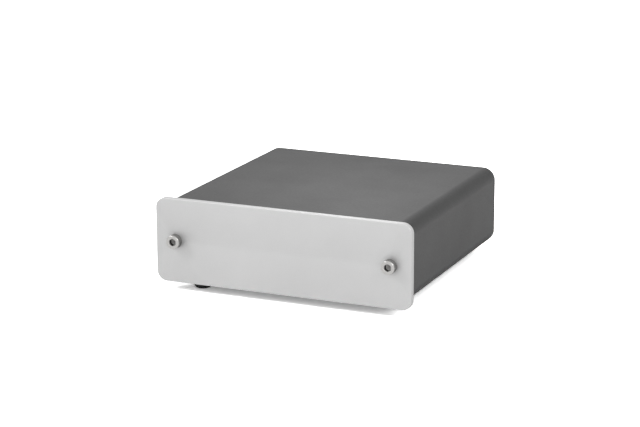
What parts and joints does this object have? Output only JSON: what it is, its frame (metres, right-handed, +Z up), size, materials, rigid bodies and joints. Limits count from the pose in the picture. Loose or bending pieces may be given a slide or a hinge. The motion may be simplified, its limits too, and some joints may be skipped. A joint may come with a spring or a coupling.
{
  "type": "phono preamplifier",
  "caption": "Compact box phono preamplifier: silver front panel held by socket screws, rounded dark sleeve, rubber feet, rear signal sockets, ground post and slide switch.",
  "frame": {"origin": "centre of the bounding box in X and Y, on the surface that the feet stand on", "axes": "+Z up, -Y out of the front panel, +X to the right seen from the front"},
  "size_m": [0.107, 0.116, 0.0371],
  "materials": {
    "panel_aluminium": "bead blasted, clear anodised, satin",
    "sleeve_paint": "satin powder coat, fine grain",
    "rear_paint": "satin powder coat, fine grain",
    "screw_steel": "nickel plated, turned",
    "black_screw": "black zinc",
    "block_aluminium": "milled",
    "foot_rubber": "matt moulded",
    "foam_pad": "adhesive foam",
    "insulating_film": "polyester film",
    "board_laminate": "green solder resist over glass fibre",
    "socket_plastic": "moulded black",
    "white_plastic": "moulded white",
    "red_plastic": "moulded red",
    "gold_plate": "gold flashed, polished",
    "tinned_metal": "tinned",
    "lever_plastic": "moulded black",
    "laminate_brown": "phenolic laminate",
    "epoxy_black": "moulded epoxy",
    "can_sleeve_blue": "shrunk film sleeve",
    "can_sleeve_black": "shrunk film sleeve",
    "film_red": "potted box",
    "film_yellow": "potted box",
    "disc_ochre": "dipped coating",
    "resistor_blue": "lacquered",
    "wire_green": "extruded insulation",
    "copper_winding": "enamelled winding",
    "jumper_blue": "moulded blue"
  },
  "bodies": {
    "case": {"front_panel": "panel_aluminium", "front_panel_screws": "screw_steel", "front_anchor_blocks": "block_aluminium", "anchor_block_screws": "screw_steel", "case_sleeve": "sleeve_paint", "insulating_sheet": "insulating_film", "rear_panel": "rear_paint", "socket_block_screws": "black_screw", "rubber_feet": "foot_rubber", "foot_adhesive_pads": "foam_pad", "circuit_board": "board_laminate", "input_socket_block": "socket_plastic", "output_socket_block": "socket_plastic", "input_socket_shells": "gold_plate", "output_socket_shells": "gold_plate", "left_socket_insulators": "white_plastic", "right_socket_insulators": "red_plastic", "socket_centre_contacts": "gold_plate", "socket_solder_tabs": "tinned_metal", "ground_stud": "gold_plate", "ground_lock_nut": "screw_steel", "ground_solder_tag": "tinned_metal", "ground_wire": "wire_green", "power_socket_housing": "socket_plastic", "power_socket_pin": "tinned_metal", "power_socket_spring": "gold_plate", "power_socket_tabs": "tinned_metal", "switch_frame": "tinned_metal", "switch_base": "laminate_brown", "switch_terminals": "tinned_metal", "op_amps": "epoxy_black", "op_amp_legs": "tinned_metal", "reservoir_capacitors": "can_sleeve_blue", "coupling_capacitors": "can_sleeve_black", "filter_capacitors": "film_red", "input_capacitors": "film_yellow", "ceramic_capacitors": "disc_ochre", "resistors": "resistor_blue", "resistor_leads": "tinned_metal", "rectifier_diodes": "epoxy_black", "rectifier_leads": "tinned_metal", "regulator_bodies": "epoxy_black", "regulator_tabs": "tinned_metal", "regulator_legs": "tinned_metal", "input_transistors": "epoxy_black", "transistor_legs": "tinned_metal", "power_choke": "copper_winding", "load_header_pins": "gold_plate", "load_headers": "socket_plastic", "load_jumpers": "jumper_blue"},
    "mode_lever": {"mode_switch_lever": "lever_plastic"},
    "ground_washer": {"ground_washer": "screw_steel"},
    "ground_nut": {"ground_thumb_nut": "gold_plate"}
  },
  "joints": [
    {"name": "mode_lever_slide", "type": "slide", "parent": "case", "child": "mode_lever", "axis": [1, 0, 0], "range_m": [0, 0.003]},
    {"name": "ground_washer_slide", "type": "slide", "parent": "case", "child": "ground_washer", "axis": [0, 1, 0], "range_m": [0, 0.0028]},
    {"name": "ground_nut_turn", "type": "hinge", "parent": "ground_washer", "child": "ground_nut", "pos_m": [0.04095, 0.05005, 0.0203], "axis": [0, 1, 0], "range_deg": [0, 1440.1]}
  ],
  "couplings": [
    {"joint": "ground_nut_turn", "follows": "ground_washer_slide", "rad_per_m": 8976}
  ]
}
